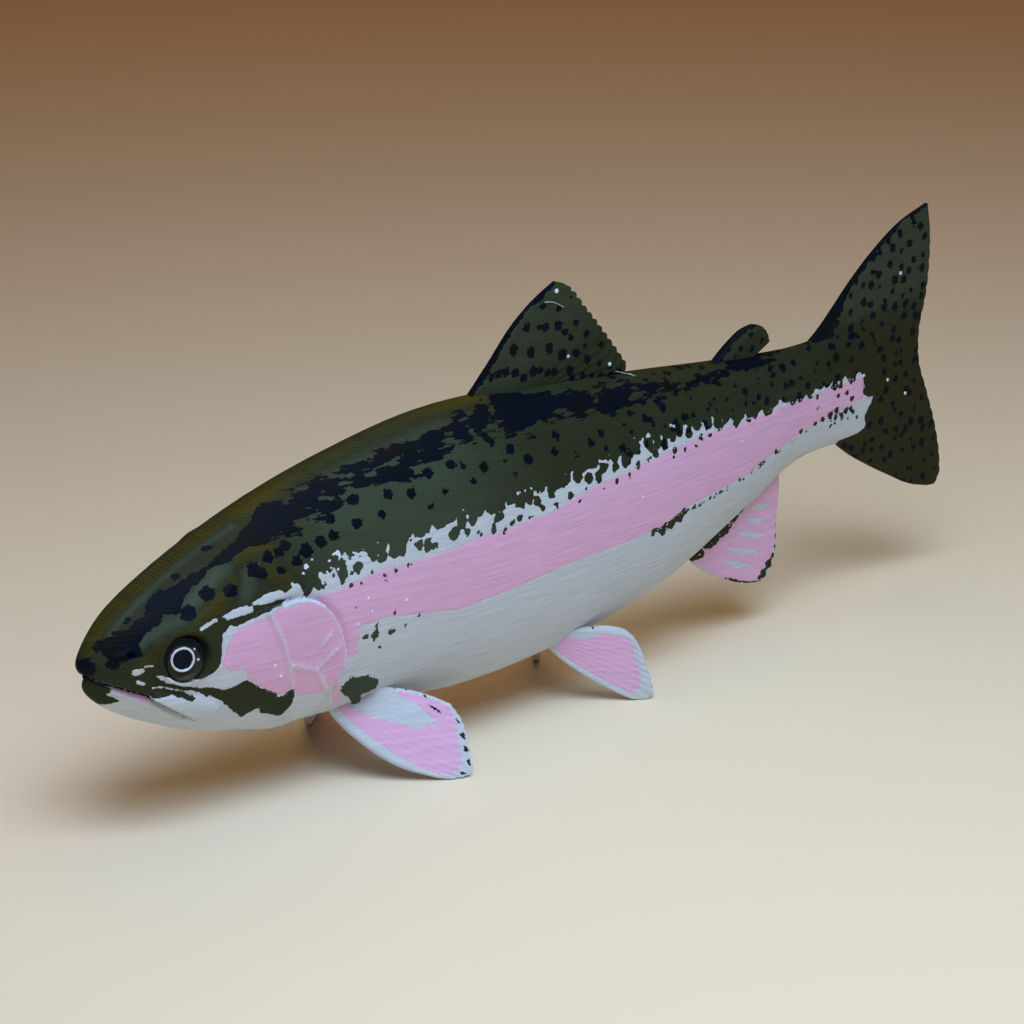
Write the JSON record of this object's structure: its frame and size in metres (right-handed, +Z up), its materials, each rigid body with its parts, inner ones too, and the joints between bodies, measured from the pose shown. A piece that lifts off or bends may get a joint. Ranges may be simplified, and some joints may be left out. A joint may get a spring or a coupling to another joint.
{
  "type": "printed rainbow trout figurine",
  "caption": "Fish figurine printed in coloured plastic, with spread fins, that stands nose down on its four paired fin tips.",
  "frame": {"origin": "on the surface it stands on, under the middle of its box", "axes": "+Z up, the snout towards -X and the tail towards +X, the fish's left side towards -Y"},
  "size_m": [0.191, 0.0386, 0.0691],
  "materials": {
    "back_olive": "printed PLA, dark olive green, matte with layer lines",
    "belly_white": "printed PLA, off-white, matte with layer lines",
    "band_rose": "printed PLA, light pink, matte with layer lines",
    "eye_navy": "printed PLA, near-black navy, satin"
  },
  "bodies": {
    "root": {"head": "back_olive", "lower_jaw": "belly_white", "gill_cover_left": "band_rose", "gill_cover_right": "band_rose", "eye_left": "eye_navy", "eye_right": "eye_navy", "trunk": "back_olive", "tail_stalk": "back_olive", "tail_fin": "back_olive", "dorsal_fin": "back_olive", "adipose_fin": "back_olive", "anal_fin": "band_rose", "pectoral_fin_left": "belly_white", "pectoral_fin_right": "belly_white", "pelvic_fin_left": "belly_white", "pelvic_fin_right": "belly_white"}
  },
  "joints": []
}
